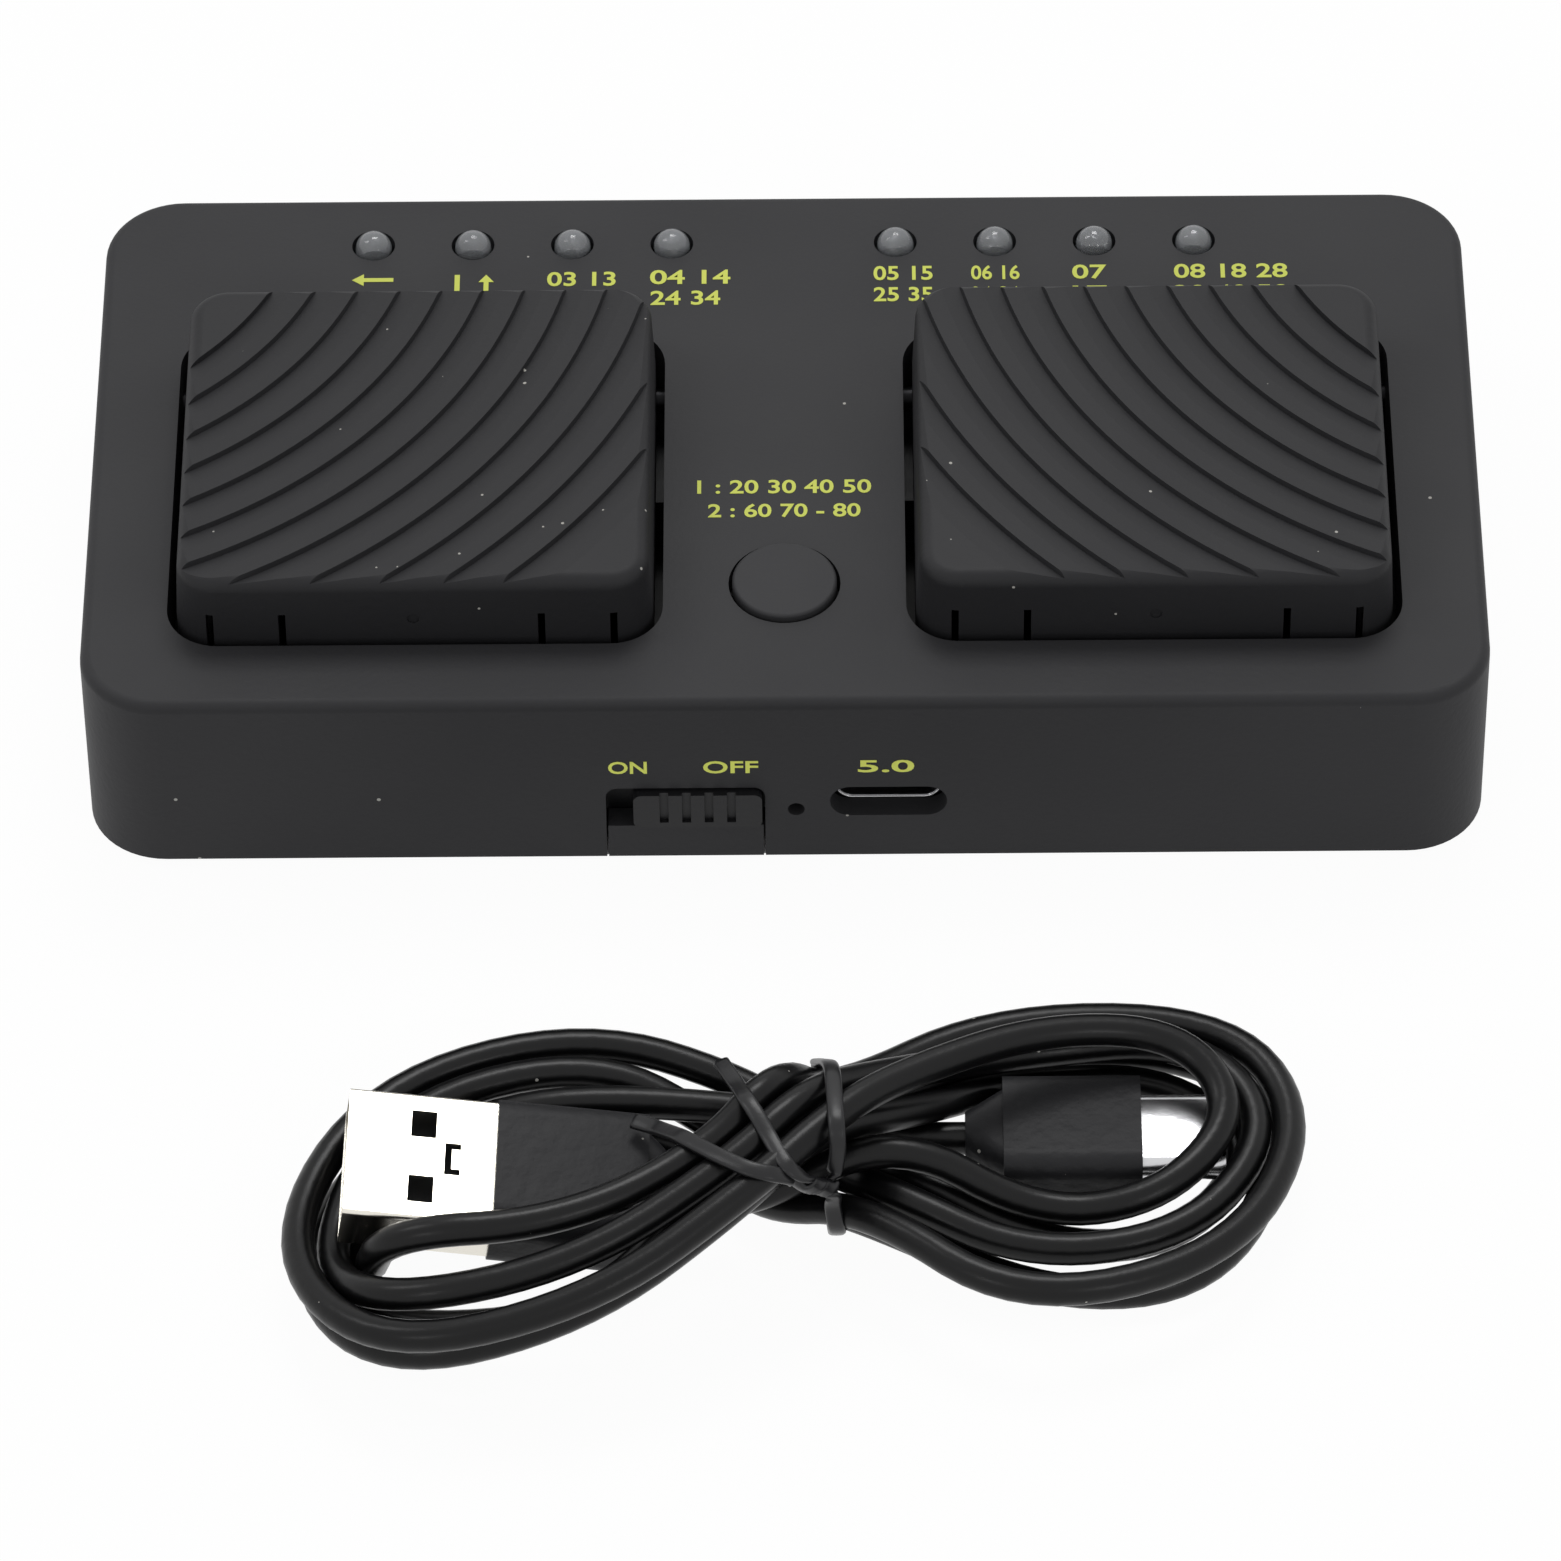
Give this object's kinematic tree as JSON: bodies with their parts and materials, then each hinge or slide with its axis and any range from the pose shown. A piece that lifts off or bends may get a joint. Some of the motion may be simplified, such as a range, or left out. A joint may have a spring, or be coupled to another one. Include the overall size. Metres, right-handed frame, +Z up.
{
  "type": "page turner pedal",
  "caption": "Low rectangular foot controller with hinged ribbed pedals, a round mode button, indicator lamps, a power slider and a charging socket; its charging cable lies tied beside it.",
  "frame": {"origin": "centre of the controller's bounding box, on the floor under its rubber feet", "axes": "+X along the case, +Y towards the back where the lamps are, +Z up; the slider and the socket are on the -Y face"},
  "size_m": [0.115, 0.1216, 0.0249],
  "materials": {
    "case": "fine moulded texture, dark charcoal",
    "pedal": "satin moulded plastic, dark charcoal",
    "button": "satin moulded plastic",
    "slider": "satin moulded plastic, black",
    "foot": "soft rubber",
    "steel": "plain steel",
    "pin": "blackened steel",
    "board": "glass-fibre board with a black mask",
    "switch": "moulded switch housing",
    "plunger": "moulded switch plunger",
    "lamp": "clear epoxy lens",
    "sleeve": "moulded black nylon",
    "metal_shell": "bright plated steel",
    "chip": "epoxy package",
    "cell": "pouch in a black film",
    "tape": "black foam tape",
    "wire": "insulated wire",
    "socket_insert": "moulded insert",
    "cord": "smooth flexible cable jacket",
    "plug": "fine moulded texture, black",
    "gold": "bright plated steel",
    "tie": "plastic-covered wire"
  },
  "bodies": {
    "root": {"upper_case": "case", "lower_case": "case", "rubber_feet": "foot", "left_pivot_pin": "pin", "right_pivot_pin": "pin", "left_return_spring": "pin", "right_return_spring": "pin", "left_switch_body": "switch", "right_switch_body": "switch", "mode_switch_body": "switch", "power_switch_body": "metal_shell", "circuit_board": "board", "lamp_spacers": "sleeve", "charge_lamp": "lamp", "usb_socket_shell": "metal_shell", "usb_socket_tongue": "socket_insert", "wireless_module": "board", "shield_can": "metal_shell", "charger_chip": "chip", "battery_cell": "cell", "battery_tape": "tape", "battery_socket": "sleeve", "battery_wires": "wire", "case_screws": "steel", "board_screws": "pin", "lamp_1": "lamp", "lamp_2": "lamp", "lamp_3": "lamp", "lamp_4": "lamp", "lamp_5": "lamp", "lamp_6": "lamp", "lamp_7": "lamp", "lamp_8": "lamp", "charging_cable": "cord", "usb_a_shell": "gold", "usb_a_insert": "socket_insert", "usb_a_housing": "plug", "usb_c_shell": "metal_shell", "usb_c_housing": "plug", "twist_tie": "tie"},
    "left_pedal": {"left_pedal": "pedal"},
    "right_pedal": {"right_pedal": "pedal"},
    "left_plunger": {"left_switch_plunger": "plunger"},
    "right_plunger": {"right_switch_plunger": "plunger"},
    "mode_button": {"mode_button": "button", "mode_switch_plunger": "plunger"},
    "power_slider": {"power_slider": "slider", "power_switch_lever": "switch"}
  },
  "joints": [
    {"name": "left_pedal_hinge", "type": "hinge", "parent": "root", "child": "left_pedal", "pos_m": [-0.03025, 0.01025, 0.014], "axis": [1, 0, 0], "range_deg": [0, 3.5], "stiffness_Nm_per_rad": 0.9, "springref_deg": -1.15, "deforming": ["left_return_spring"]},
    {"name": "left_plunger_slide", "type": "slide", "parent": "root", "child": "left_plunger", "axis": [0, 0, -1], "range_m": [0, 0.000936]},
    {"name": "right_pedal_hinge", "type": "hinge", "parent": "root", "child": "right_pedal", "pos_m": [0.03025, 0.01025, 0.014], "axis": [1, 0, 0], "range_deg": [0, 3.5], "stiffness_Nm_per_rad": 0.9, "springref_deg": -1.15, "deforming": ["right_return_spring"]},
    {"name": "right_plunger_slide", "type": "slide", "parent": "root", "child": "right_plunger", "axis": [0, 0, -1], "range_m": [0, 0.000936]},
    {"name": "mode_button_slide", "type": "slide", "parent": "root", "child": "mode_button", "axis": [0, 0, -1], "range_m": [0, 0.0003], "stiffness_N_per_m": 1500, "springref_m": -0.0004},
    {"name": "power_slider_slide", "type": "slide", "parent": "root", "child": "power_slider", "axis": [-1, 0, 0], "range_m": [0, 0.002]}
  ],
  "couplings": [
    {"joint": "left_plunger_slide", "follows": "left_pedal_hinge", "m_per_rad": 0.015},
    {"joint": "right_plunger_slide", "follows": "right_pedal_hinge", "m_per_rad": 0.015}
  ]
}
